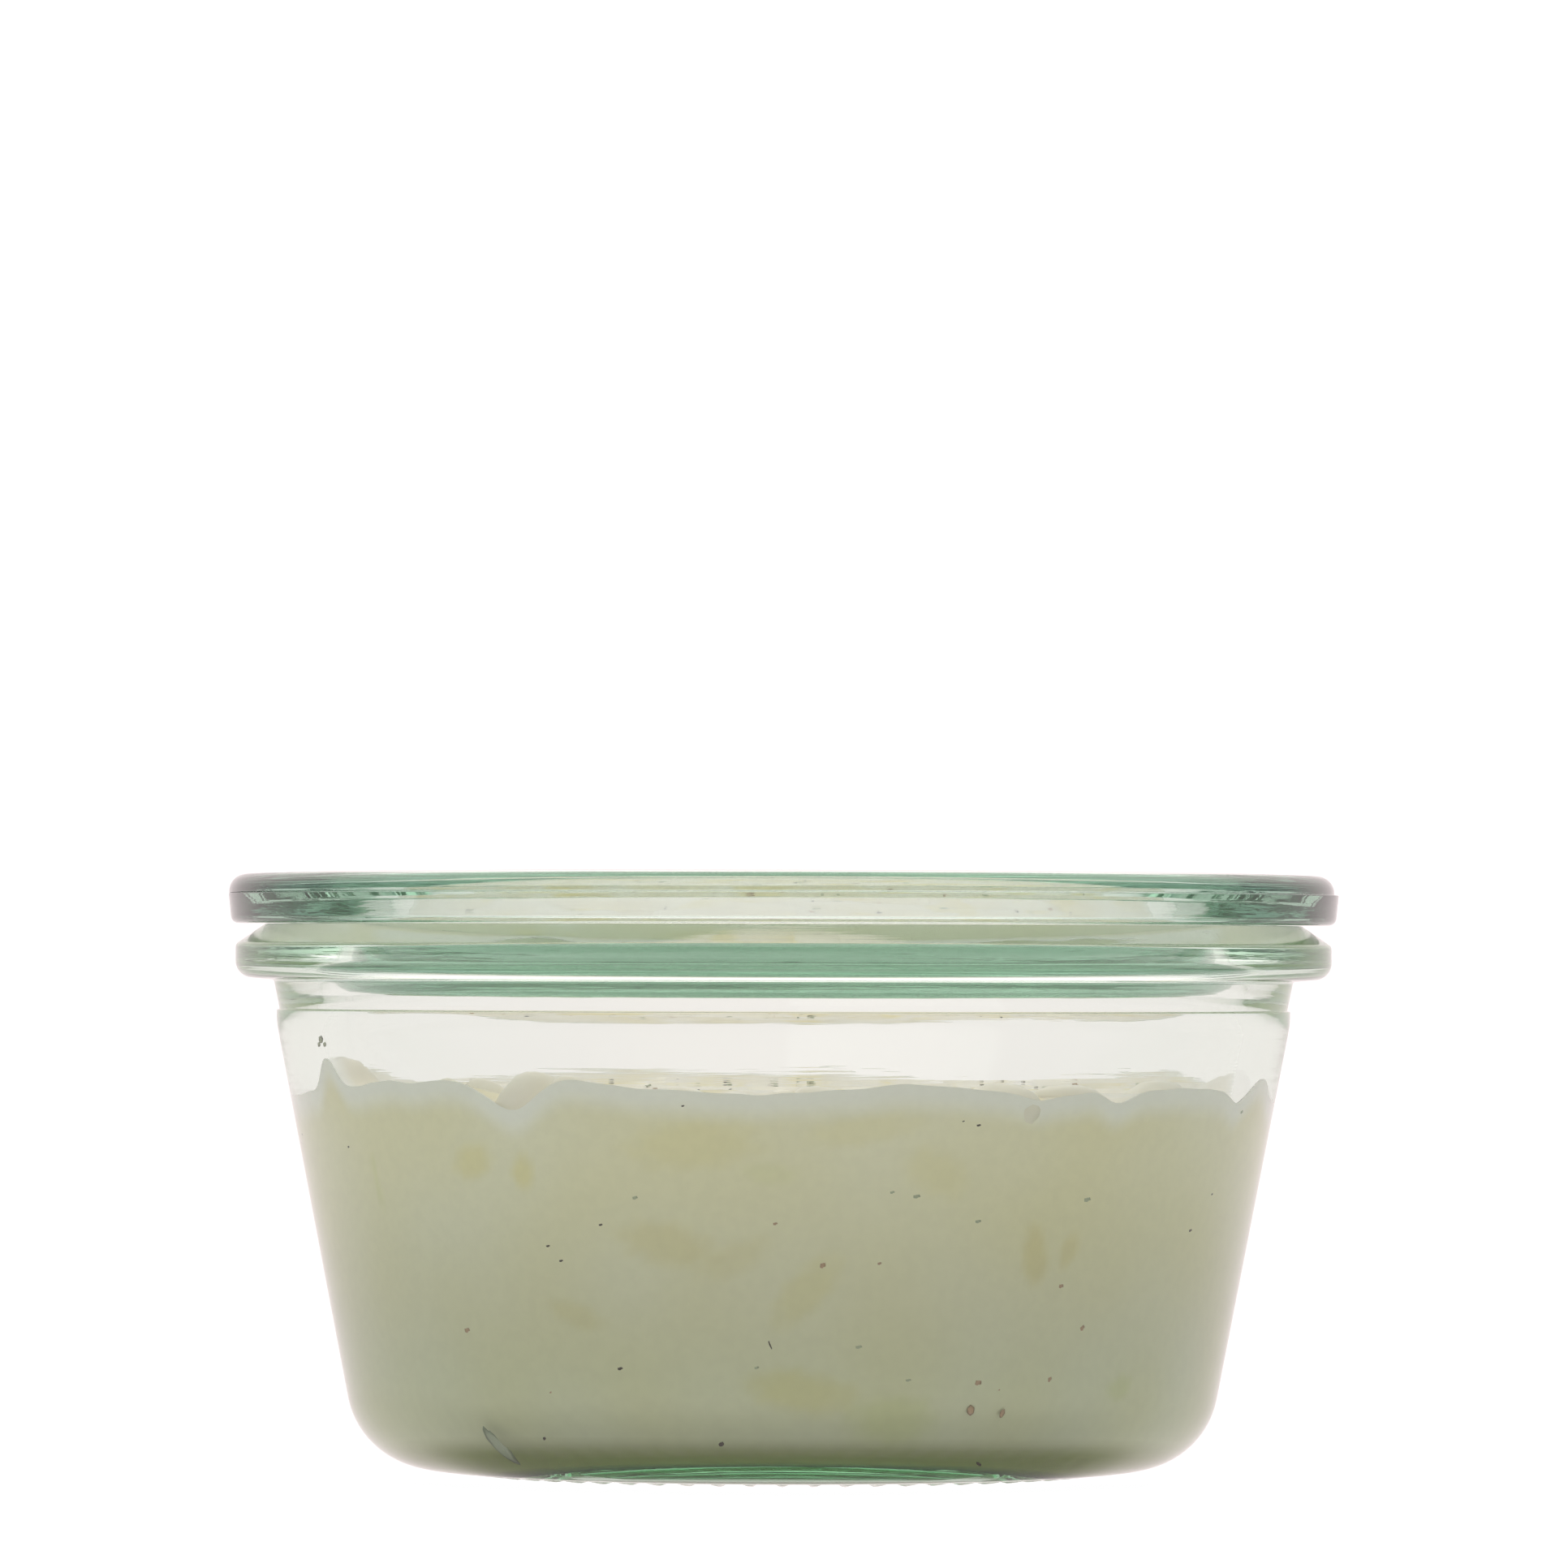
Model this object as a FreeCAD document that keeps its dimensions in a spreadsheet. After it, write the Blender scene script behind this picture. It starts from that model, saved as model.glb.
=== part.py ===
import FreeCAD, Part
import math
import os

import Sketcher

# A round-rim preserving jar of about 290 ml: a tapered pressed-glass bowl with a collar rim, a loose
# glass lid that rests on the rim, and a chunky cream filling up to two thirds of the height.
# Millimetres, +Z up along the jar's axis. The origin is the centre of the ring of foot ribs that the
# jar stands on, and -Y is the front.

# alias, value, meaning
SIZES = [
    ("jar_height", 54.3, "foot ribs to the mouth's land"),
    ("rim_radius", 54.4, "outside of the collar rim"),
    ("rim_depth", 5.2, "mouth's land to the collar's lower outer corner"),
    ("rim_undercut", 0.35, "how far the collar's underside falls towards the neck"),
    ("lip_width", 2.9, "sloping lip, across"),
    ("lip_drop", 2.0, "sloping lip, down"),
    ("lip_round", 0.6, "rounding of the lip's two edges"),
    ("rim_round", 1.7, "rounding under the collar"),
    ("neck_radius", 50.6, "outside of the neck under the collar"),
    ("neck_round", 0.3, "rounding between the neck and the collar"),
    ("ledge_height", 45.85, "foot ribs to the ledge where the neck mould meets the body mould"),
    ("ledge_width", 0.3, "width of that ledge"),
    ("ledge_round", 0.12, "rounding of the ledge's edge"),
    ("body_radius", 50.3, "outside of the body below the ledge"),
    ("shoulder_height", 44.6, "where the upright band meets the taper"),
    ("shoulder_round", 9.0, "rounding between them"),
    ("body_taper", 0.1935, "how much slimmer the body gets for each millimetre down"),
    ("heel_round", 8.6, "rounding of the heel outside"),
    ("mouth_radius", 46.4, "inside of the throat"),
    ("mouth_flare", 2.33, "how much wider the mouth is at its land than at the throat"),
    ("mouth_round", 1.0, "rounding of the mouth's inner edge"),
    ("mouth_depth", 7.4, "mouth's land to the throat, where the mouth meets the tapered inside"),
    ("throat_round", 6.0, "rounding between them"),
    ("base_height", 5.1, "foot ribs to the inside floor"),
    ("inner_heel_round", 6.0, "rounding of the heel inside"),
    ("kick_radius", 27.0, "outside of the pushed-up middle of the base"),
    ("kick_slope", 7.0, "width of the slope round it"),
    ("kick_height", 0.9, "how far it is pushed up"),
    ("kick_round", 3.0, "rounding at the edges of that slope"),
    ("rib_count", 64, "ribs in the foot ring"),
    ("rib_ring_radius", 31.0, "middle of the ring of ribs"),
    ("rib_length", 4.6, "length of a rib along the radius"),
    ("rib_height", 0.45, "how far a rib stands out"),
    ("rib_foot", 1.2, "width of a rib's flat foot"),
    ("rib_root", 4.0, "width of a rib at its root in the base"),
    ("rib_sink", 0.6, "how deep that root lies in the base"),
    ("lid_radius", 55.1, "outside of the lid"),
    ("lid_thickness", 4.85, "lid's brim at its outer edge"),
    ("lid_crown", 0.25, "how much the brim rises towards the recess"),
    ("lid_step", 0.25, "mould step round the brim's edge"),
    ("lid_step_height", 3.0, "brim's underside to that step"),
    ("lid_draft", 0.3, "how much slimmer the brim is at its underside"),
    ("lid_top_round", 1.7, "rounding of the brim's upper outer edge"),
    ("lid_bottom_round", 0.8, "rounding of the brim's lower edge"),
    ("lid_gap", 0.05, "clearance between the lid and the mouth's land"),
    ("recess_radius", 43.0, "top of the steep wall of the recess that takes a stacked jar's foot"),
    ("recess_draft", 1.0, "how much slimmer the recess is at its floor"),
    ("recess_depth", 4.75, "depth of the recess"),
    ("recess_round", 1.6, "rounding of the recess's floor edge and of the bevel's upper edge"),
    ("bevel_width", 4.5, "width of the bevel between the steep wall and the brim's top"),
    ("bevel_depth", 2.25, "depth of that bevel"),
    ("plug_clearance", 1.7, "radial clearance of the lid's plug in the mouth"),
    ("plug_depth", 7.0, "brim's underside to the plug's lower end"),
    ("plug_draft", 2.2, "how much slimmer the plug is at its lower end"),
    ("plug_round", 0.8, "rounding of the plug's lower edge"),
    ("plug_foot_width", 5.0, "flat ring round the hollow in the plug's underside"),
    ("hollow_slope", 27.0, "width of the slope of that hollow"),
    ("hollow_depth", 2.0, "depth of that hollow"),
    ("fill_gap", 0.05, "clearance between the filling and the glass"),
    ("fill_level", 37.9, "foot ribs to the filling's mean level"),
    ("fill_headroom", 4.5, "how far above the mean level the filling's mounds may rise"),
    ("mound_scale", 1.0, "strength of the mounds and hollows in the filling's top"),
]

# Mounds (+) and hollows (-) that the spoon left: angle from the front towards +X in degrees,
# distance from the axis as a share of the inside radius, height and half-width in millimetres.
SPOON_MARKS = [
    (-68, 1.00, 3.4, 3.2),
    (-50, 0.84, 0.7, 8.0),
    (-32, 1.00, -2.2, 3.6),
    (-19, 0.97, 1.5, 4.2),
    (-1, 1.00, -2.5, 6.0),
    (30, 0.88, 1.2, 8.0),
    (58, 0.92, 0.9, 6.0),
    (70, 1.00, 2.4, 3.2),
    (92, 0.90, -0.9, 8.0),
    (118, 0.82, 1.3, 9.0),
    (150, 0.90, -0.8, 7.0),
    (172, 0.84, 1.2, 8.0),
    (-158, 0.70, 1.6, 10.0),
    (-125, 0.92, -0.7, 7.0),
    (-100, 0.76, 1.4, 9.0),
    (30, 0.30, -1.4, 13.0),
    (-70, 0.38, 1.1, 10.0),
    (160, 0.36, 0.8, 11.0),
]
TOP_GRID = 27  # lines each way of the net that the filling's top is drawn through

doc = FreeCAD.newDocument("preserving_jar")
sheet = doc.addObject("Spreadsheet::Sheet", "Sizes")


def fill_sheet():
    """Writes the driving dimensions into the sheet, one row each."""
    for row, (alias, value, meaning) in enumerate(SIZES, 1):
        sheet.set(f"A{row}", alias)
        sheet.set(f"B{row}", str(value))
        sheet.set(f"C{row}", meaning)
        sheet.setAlias(f"B{row}", alias)
    doc.recompute()


def size(alias):
    """One driving dimension, read from the sheet."""
    return float(sheet.get(alias))


def number(expression):
    """The value of an expression over the sheet."""
    return float(sheet.evalExpression(expression))


def new_body(label):
    """An empty body whose label names the sub-part."""
    body = doc.addObject("PartDesign::Body", label)
    body.Label = label
    return body


def origin_feature(body, role):
    """One of the body's own origin planes or axes, such as XZ_Plane."""
    return next(f for f in body.Origin.OriginFeatures if f.Role == role)


def section(body, name, corners):
    """A closed sketch in the body's XZ plane through corners given as (radius, height) expressions."""
    sketch = body.newObject("Sketcher::SketchObject", name)
    sketch.AttachmentSupport = [(origin_feature(body, "XZ_Plane"), "")]
    sketch.MapMode = "FlatFace"
    points = [FreeCAD.Vector(number(r), number(z), 0) for r, z in corners]
    for start, end in zip(points, points[1:] + points[:1]):
        sketch.addGeometry(Part.LineSegment(start, end), False)
    count = len(corners)
    for i in range(count):
        sketch.addConstraint(Sketcher.Constraint("Coincident", i, 2, (i + 1) % count, 1))
    for i, (radius, height) in enumerate(corners):
        for kind, expression, axis in (("DistanceX", radius, -2), ("DistanceY", height, -1)):
            if expression == "0":
                sketch.addConstraint(Sketcher.Constraint("PointOnObject", i, 1, axis))
                continue
            constraint = Sketcher.Constraint(kind, -1, 1, i, 1, number(expression))
            index = sketch.addConstraint(constraint)
            sketch.setExpression(f"Constraints[{index}]", expression)
    return sketch


def turned(body, name, corners):
    """The solid that the section sweeps in a full turn about the body's axis."""
    sketch = section(body, name + "_section", corners)
    solid = body.newObject("PartDesign::Revolution", name)
    solid.Profile = sketch
    solid.ReferenceAxis = (sketch, ["V_Axis"])
    solid.Angle = 360
    doc.recompute()
    return solid


def ring_edges(shape, rings):
    """Names of the shape's circular edges at the given (radius, height) expressions."""
    near = 0.02
    names = []
    for radius, height in rings:
        r, z = number(radius), number(height)
        found = [
            f"Edge{i}"
            for i, edge in enumerate(shape.Edges, 1)
            if isinstance(edge.Curve, Part.Circle)
            and abs(edge.Curve.Radius - r) < near
            and abs(edge.Curve.Center.z - z) < near
        ]
        if not found:
            raise ValueError(f"no ring edge at radius {r:.3f}, height {z:.3f}")
        names += found
    return names


def rounded(body, name, radius, rings):
    """Rounds ring edges of the body's last feature to a radius from the sheet."""
    base = body.Tip
    fillet = body.newObject("PartDesign::Fillet", name)
    fillet.Base = (base, ring_edges(base.Shape, rings))
    fillet.setExpression("Radius", radius)
    doc.recompute()
    return fillet


# Expressions that more than one piece uses.
BEARING = "Sizes.rib_height"
RIB_TOP = f"{BEARING} + Sizes.rib_sink"
TAPER = "Sizes.body_taper"
OUTER_HEEL = f"Sizes.body_radius - {TAPER} * (Sizes.shoulder_height - {BEARING})"
THROAT = "Sizes.jar_height - Sizes.mouth_depth"
MOUTH = "Sizes.mouth_radius + Sizes.mouth_flare"
INNER_HEEL = f"Sizes.mouth_radius - {TAPER} * ({THROAT} - Sizes.base_height)"
LID_SEAT = "Sizes.jar_height + Sizes.lid_gap"


def make_jar():
    """The glass bowl: one turned section, its roundings, and the ring of foot ribs."""
    body = new_body("glass_jar")
    lip_foot = "Sizes.jar_height - Sizes.lip_drop"
    land = "Sizes.rim_radius - Sizes.lip_width"
    rim_foot = "Sizes.jar_height - Sizes.rim_depth"
    neck_top = f"{rim_foot} - Sizes.rim_undercut"
    kick_inner = "Sizes.kick_radius - Sizes.kick_slope"
    kick_top = f"{BEARING} + Sizes.kick_height"
    underside = [("0", kick_top), (kick_inner, kick_top), ("Sizes.kick_radius", BEARING)]
    outside = [
        (OUTER_HEEL, BEARING),
        ("Sizes.body_radius", "Sizes.shoulder_height"),
        ("Sizes.body_radius", "Sizes.ledge_height"),
        ("Sizes.body_radius - Sizes.ledge_width", "Sizes.ledge_height"),
        ("Sizes.neck_radius", neck_top),
        ("Sizes.rim_radius", rim_foot),
        ("Sizes.rim_radius", lip_foot),
        (land, "Sizes.jar_height"),
    ]
    inside = [
        (MOUTH, "Sizes.jar_height"),
        ("Sizes.mouth_radius", THROAT),
        (INNER_HEEL, "Sizes.base_height"),
        ("0", "Sizes.base_height"),
    ]
    turned(body, "jar_glass", underside + outside + inside)
    rounded(body, "heel", "Sizes.heel_round", [(OUTER_HEEL, BEARING)])
    rounded(body, "inner_heel", "Sizes.inner_heel_round", [(INNER_HEEL, "Sizes.base_height")])
    rounded(body, "shoulder", "Sizes.shoulder_round", [("Sizes.body_radius", "Sizes.shoulder_height")])
    rounded(body, "ledge_edge", "Sizes.ledge_round", [("Sizes.body_radius", "Sizes.ledge_height")])
    rounded(body, "neck_fillet", "Sizes.neck_round", [("Sizes.neck_radius", neck_top)])
    rounded(body, "collar_edge", "Sizes.rim_round", [("Sizes.rim_radius", rim_foot)])
    rounded(body, "lip_edges", "Sizes.lip_round", [("Sizes.rim_radius", lip_foot), (land, "Sizes.jar_height")])
    rounded(body, "mouth_edge", "Sizes.mouth_round", [(MOUTH, "Sizes.jar_height")])
    rounded(body, "throat", "Sizes.throat_round", [("Sizes.mouth_radius", THROAT)])
    rounded(body, "kick_edges", "Sizes.kick_round", [(kick_inner, kick_top), ("Sizes.kick_radius", BEARING)])
    add_foot_ribs(body)
    return body


def add_foot_ribs(body):
    """A ring of bevelled ribs under the base, each lying along the radius with a flat foot."""
    sketch = body.newObject("Sketcher::SketchObject", "rib_section")
    sketch.AttachmentSupport = [(origin_feature(body, "YZ_Plane"), "")]
    sketch.MapMode = "FlatFace"
    inner_end = "Sizes.rib_ring_radius - Sizes.rib_length / 2"
    sketch.setExpression("AttachmentOffset.Base.z", inner_end)
    foot, root, top = size("rib_foot") / 2, size("rib_root") / 2, number(RIB_TOP)
    corners = [FreeCAD.Vector(y, z, 0) for y, z in ((-foot, 0), (foot, 0), (root, top), (-root, top))]
    for start, end in zip(corners, corners[1:] + corners[:1]):
        sketch.addGeometry(Part.LineSegment(start, end), False)
    for i in range(4):
        sketch.addConstraint(Sketcher.Constraint("Coincident", i, 2, (i + 1) % 4, 1))
    sketch.addConstraint(Sketcher.Constraint("Symmetric", 0, 1, 0, 2, -2))
    sketch.addConstraint(Sketcher.Constraint("Symmetric", 2, 1, 2, 2, -2))
    sketch.addConstraint(Sketcher.Constraint("PointOnObject", 0, 1, -1))
    for kind, first, second, expression in (
        ("DistanceX", (0, 1), (0, 2), "Sizes.rib_foot"),
        ("DistanceX", (2, 2), (2, 1), "Sizes.rib_root"),
        ("DistanceY", (-1, 1), (2, 1), RIB_TOP),
    ):
        constraint = Sketcher.Constraint(kind, *first, *second, number(expression))
        sketch.setExpression(f"Constraints[{sketch.addConstraint(constraint)}]", expression)
    rib = body.newObject("PartDesign::Pad", "foot_rib")
    rib.Profile = sketch
    rib.setExpression("Length", "Sizes.rib_length")
    doc.recompute()
    ring = body.newObject("PartDesign::PolarPattern", "foot_ribs")
    ring.Originals = [rib]
    ring.Axis = (origin_feature(body, "Z_Axis"), [""])
    ring.Angle = 360
    ring.setExpression("Occurrences", "Sizes.rib_count")
    body.Tip = ring
    doc.recompute()


def make_lid():
    """The glass lid: a crowned brim round a recess for the next jar's foot, over a hollowed plug."""
    body = new_body("glass_lid")
    edge_top = f"{LID_SEAT} + Sizes.lid_thickness"
    crown_top = f"{edge_top} + Sizes.lid_crown"
    floor = f"{crown_top} - Sizes.recess_depth"
    recess_foot = "Sizes.recess_radius - Sizes.recess_draft"
    bevel_edge = "Sizes.recess_radius + Sizes.bevel_width"
    step = f"{LID_SEAT} + Sizes.lid_step_height"
    upper_edge = "Sizes.lid_radius - Sizes.lid_step"
    lower_edge = "Sizes.lid_radius - Sizes.lid_draft"
    plug = f"{MOUTH} - Sizes.plug_clearance"
    plug_foot = f"{LID_SEAT} - Sizes.plug_depth"
    plug_corner = f"{plug} - Sizes.plug_draft"
    hollow_edge = f"{plug_corner} - Sizes.plug_foot_width"
    hollow_middle = f"{hollow_edge} - Sizes.hollow_slope"
    hollow_top = f"{plug_foot} + Sizes.hollow_depth"
    top = [
        ("0", floor),
        (recess_foot, floor),
        ("Sizes.recess_radius", f"{crown_top} - Sizes.bevel_depth"),
        (bevel_edge, crown_top),
        (upper_edge, edge_top),
        (upper_edge, step),
        ("Sizes.lid_radius", step),
    ]
    underside = [
        (lower_edge, LID_SEAT),
        (plug, LID_SEAT),
        (plug_corner, plug_foot),
        (hollow_edge, plug_foot),
        (hollow_middle, hollow_top),
        ("0", hollow_top),
    ]
    turned(body, "lid_glass", top + underside)
    rounded(body, "brim_top_edge", "Sizes.lid_top_round", [(upper_edge, edge_top)])
    rounded(body, "brim_bottom_edge", "Sizes.lid_bottom_round", [(lower_edge, LID_SEAT)])
    rounded(body, "recess_edges", "Sizes.recess_round", [(recess_foot, floor), (bevel_edge, crown_top)])
    rounded(body, "plug_edge", "Sizes.plug_round", [(plug_corner, plug_foot)])
    return body


def filling_mould():
    """What the filling would be if it filled the bowl evenly to above its highest mound."""
    body = new_body("filling_mould")
    level = "Sizes.fill_level + Sizes.fill_headroom"
    foot = "Sizes.base_height + Sizes.fill_gap"
    wall = "Sizes.mouth_radius - Sizes.fill_gap"
    top_radius = f"{wall} - {TAPER} * ({THROAT} - {level})"
    foot_radius = f"{wall} - {TAPER} * ({THROAT} - {foot})"
    turned(body, "even_filling", [("0", foot), (foot_radius, foot), (top_radius, level), ("0", level)])
    rounded(body, "filling_heel", "Sizes.inner_heel_round", [(foot_radius, foot)])
    return body


def top_height(x, y):
    """Height of the filling's spooned top over the point x, y."""
    inside = size("mouth_radius")
    height = size("fill_level")
    for angle, share, rise, half_width in SPOON_MARKS:
        turn = math.radians(angle)
        mark_x = inside * share * math.sin(turn)
        mark_y = -inside * share * math.cos(turn)
        spread = ((x - mark_x) ** 2 + (y - mark_y) ** 2) / (2 * half_width**2)
        height += size("mound_scale") * rise * math.exp(-spread)
    return height


def spooned_block():
    """A block under one smooth surface drawn through the spooned top, wider than the bowl's inside."""
    reach = size("mouth_radius") + 4
    steps = [reach * (2 * i / (TOP_GRID - 1) - 1) for i in range(TOP_GRID)]
    surface = Part.BSplineSurface()
    surface.interpolate([[FreeCAD.Vector(x, y, top_height(x, y)) for y in steps] for x in steps])
    block = doc.addObject("Part::Feature", "spooned_block")
    block.Shape = surface.toShape().extrude(FreeCAD.Vector(0, 0, -size("fill_level")))
    return block


def make_filling():
    """The cream filling: the mould's shape under the spooned top."""
    filling = doc.addObject("Part::Common", "cream_filling")
    filling.Base = filling_mould()
    filling.Tool = spooned_block()
    filling.Label = "cream_filling"
    doc.recompute()
    return filling


def check(parts):
    """Stops on any failed object and on any sub-part that isn't one valid closed solid."""
    for item in doc.Objects:
        if {"Invalid", "Error"} & set(item.State):
            raise RuntimeError(f"{item.Name} failed: {item.State}")
    for part in parts:
        if part.Shape.isNull() or not part.Shape.isValid() or len(part.Shape.Solids) != 1:
            raise RuntimeError(f"{part.Label} isn't one valid solid")


def write(parts):
    """Writes each sub-part to parts/LABEL.step and prints its volume."""
    os.makedirs("parts", exist_ok=True)
    for part in parts:
        part.Shape.exportStep(f"parts/{part.Label}.step")
        box = part.Shape.BoundBox
        print(f"{part.Label}: {part.Shape.Volume / 1000:.2f} ml, z {box.ZMin:.3f} to {box.ZMax:.3f}")


fill_sheet()
pieces = [make_jar(), make_lid(), make_filling()]
doc.recompute()
check(pieces)
write(pieces)
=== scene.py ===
import logging
import math
import random
from dataclasses import dataclass, field
from enum import Enum
from typing import Callable, Sequence

import bmesh
import bpy
from mathutils import Euler, Matrix, Vector, noise


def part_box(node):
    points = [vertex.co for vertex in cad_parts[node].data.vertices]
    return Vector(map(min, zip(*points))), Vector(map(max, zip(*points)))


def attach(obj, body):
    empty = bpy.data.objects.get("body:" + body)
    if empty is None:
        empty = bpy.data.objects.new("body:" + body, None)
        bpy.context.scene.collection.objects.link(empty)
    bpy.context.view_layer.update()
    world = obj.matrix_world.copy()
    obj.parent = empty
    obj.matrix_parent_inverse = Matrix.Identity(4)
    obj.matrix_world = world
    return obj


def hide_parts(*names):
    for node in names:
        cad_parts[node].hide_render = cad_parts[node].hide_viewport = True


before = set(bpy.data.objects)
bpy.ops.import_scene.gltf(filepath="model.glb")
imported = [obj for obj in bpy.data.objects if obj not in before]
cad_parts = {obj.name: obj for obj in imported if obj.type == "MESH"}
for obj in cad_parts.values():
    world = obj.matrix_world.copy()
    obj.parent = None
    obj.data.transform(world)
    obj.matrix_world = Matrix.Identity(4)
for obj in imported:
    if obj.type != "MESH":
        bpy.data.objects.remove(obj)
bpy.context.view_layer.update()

MM = 0.001
LOG = logging.getLogger("preserving_jar")
Piece = bpy.types.Object
Socket = bpy.types.NodeSocket
Colour = tuple[float, float, float]
Span = tuple[float, float]
SizeChange = Callable[[float, float, float], Span]
LIGHT_TONE: Colour = (0.935, 0.84, 0.84)
LID_ABSORPTION: Colour = (0.0170, 0.0100, 0.0140)
WHITE: Colour = (1.0, 1.0, 1.0)
PAINT = "cream_colour"
ON_AXIS = 1e-6  # radius in millimetres up to which a point lies on the axis
SAME_POINT = 1e-4  # millimetres up to which two points are one
SEED_SHIFT = (17.3, -9.1, 5.7)  # how far each seed moves the noise
MOULD_WAVES = 3.0  # how busy the waviness of pressed glass is round the axis
NOISE_SPAN = (0.3, 0.7)  # the part of its range that a noise texture mostly fills


# ---- small helpers


def smooth_step(low: float, high: float, value: float) -> float:
    """Eases from 0 to 1 while value goes from low to high."""
    share = min(1.0, max(0.0, (value - low) / (high - low)))
    return share * share * (3 - 2 * share)


def bell(distance: float, half_width: float) -> float:
    """A bell curve that is 1 at no distance."""
    return math.exp(-0.5 * (distance / half_width) ** 2)


def turn_between(first: float, second: float) -> float:
    """The signed angle in degrees from second to first, the short way round."""
    return (first - second + 180) % 360 - 180


def mix(first: Colour, second: Colour, share: float) -> Colour:
    """The colour that lies a share of the way from first to second."""
    return tuple(a + (b - a) * share for a, b in zip(first, second))


def soft_noise(x: float, y: float, z: float, seed: float = 0.0) -> float:
    """Smooth noise of about -1 to 1 at a point, different for each seed."""
    place = (x, y, z)
    return noise.noise(Vector(a + shift * seed for a, shift in zip(place, SEED_SHIFT)))


def mould_wave(turn: float, height: float, seed: float) -> float:
    """The slow waviness of pressed glass, of about -1 to 1, at a turn in radians."""
    return soft_noise(math.cos(turn) * MOULD_WAVES, math.sin(turn) * MOULD_WAVES, height, seed)


def spot(radius: float, angle: float) -> Span:
    """The x and y of a radius and an angle in degrees, from the front towards +X."""
    turn = math.radians(angle)
    return radius * math.sin(turn), -radius * math.cos(turn)


@dataclass(frozen=True)
class Corner:
    """A corner of a turned section, in millimetres."""

    radius: float
    height: float
    rounding: float = 0.0


@dataclass(frozen=True)
class Section:
    """A closed half section that is turned about the Z axis.

    Attributes:
        corners: The section's corners in order.
        arc_step: Largest turn, in radians, between two points of a rounding.
        run_step: Longest straight run, in millimetres, inside the fine band.
        fine_band: Lowest and highest height between which runs are divided.
    """

    corners: Sequence[Corner]
    arc_step: float = 0.09
    run_step: float = 0.35
    fine_band: Span = (1.0, 0.0)

    def outline(self) -> list[Vector]:
        """The section's points, with its roundings drawn as arcs.

        Returns:
            Points with the radius as x and the height as y.
        """
        points: list[Vector] = []
        count = len(self.corners)
        for i, corner in enumerate(self.corners):
            before = self.corners[i - 1]
            after = self.corners[(i + 1) % count]
            points += self._rounded(before, corner, after)
        return self._divided(points)

    def _rounded(self, before: Corner, corner: Corner, after: Corner) -> list[Vector]:
        """One corner as an arc, or as itself where it is sharp.

        Args:
            before: Corner before it.
            corner: Corner to round.
            after: Corner after it.

        Returns:
            The points of the arc, or the sharp corner.
        """
        tip = Vector((corner.radius, corner.height))
        if corner.rounding <= 0:
            return [tip]
        back = (Vector((before.radius, before.height)) - tip).normalized()
        ahead = (Vector((after.radius, after.height)) - tip).normalized()
        half = back.angle(ahead) / 2
        centre = tip + (back + ahead).normalized() * (corner.rounding / math.sin(half))
        start = tip + back * (corner.rounding / math.tan(half)) - centre
        turn = math.pi - 2 * half
        steps = max(3, math.ceil(turn / self.arc_step))
        side = 1 if back.x * ahead.y - back.y * ahead.x < 0 else -1
        arc = []
        for k in range(steps + 1):
            angle = side * turn * k / steps
            arc.append(centre + Matrix.Rotation(angle, 2) @ start)
        return arc

    def _divided(self, points: list[Vector]) -> list[Vector]:
        """The same points, with long runs inside the fine band divided.

        Args:
            points: Points of the outline.

        Returns:
            The points with those that divide the runs, and none twice.
        """
        low, high = self.fine_band
        fine: list[Vector] = []
        for i, point in enumerate(points):
            after = points[(i + 1) % len(points)]
            fine.append(point)
            if not (low <= point.y <= high and low <= after.y <= high):
                continue
            runs = math.ceil((after - point).length / self.run_step)
            fine += [point.lerp(after, k / runs) for k in range(1, runs)]
        return [p for i, p in enumerate(fine) if (p - fine[i - 1]).length > SAME_POINT]


def linked(name: str, data: bpy.types.ID) -> Piece:
    """A new object at the origin, linked to the scene.

    Args:
        name: Name of the object.
        data: Mesh, lamp or camera that it shows.

    Returns:
        The object.
    """
    made = bpy.data.objects.new(name, data)
    bpy.context.scene.collection.objects.link(made)
    return made


def mesh_object(name: str, bm: bmesh.types.BMesh, material: bpy.types.Material) -> Piece:
    """A smooth object at the origin from a finished bmesh.

    Args:
        name: Name of the object.
        bm: Geometry in metres, which is freed.
        material: Finish of every face.

    Returns:
        The linked object.
    """
    mesh = bpy.data.meshes.new(name)
    bm.to_mesh(mesh)
    bm.free()
    mesh.shade_smooth()
    mesh.materials.append(material)
    return linked(name, mesh)


def turned(
    name: str,
    section: Section,
    segments: int,
    material: bpy.types.Material,
    change: SizeChange | None = None,
) -> Piece:
    """Turns a closed half section about the Z axis.

    Args:
        name: Name of the object.
        section: Section that starts and ends on the axis.
        segments: Steps round the axis.
        material: Finish of the piece.
        change: Gives the radius and height of a point from its radius, height and turn.

    Returns:
        The closed object.
    """
    bm = bmesh.new()
    rings: list[list[bmesh.types.BMVert]] = []
    for point in section.outline():
        if point.x < ON_AXIS:
            rings.append([bm.verts.new((0, 0, point.y * MM))])
            continue
        ring = []
        for k in range(segments):
            turn = 2 * math.pi * k / segments
            radius, height = change(point.x, point.y, turn) if change else point
            side, front = math.cos(turn) * radius, math.sin(turn) * radius
            ring.append(bm.verts.new((side * MM, front * MM, height * MM)))
        rings.append(ring)
    close_rings(bm, rings)
    return mesh_object(name, bm, material)


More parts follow.
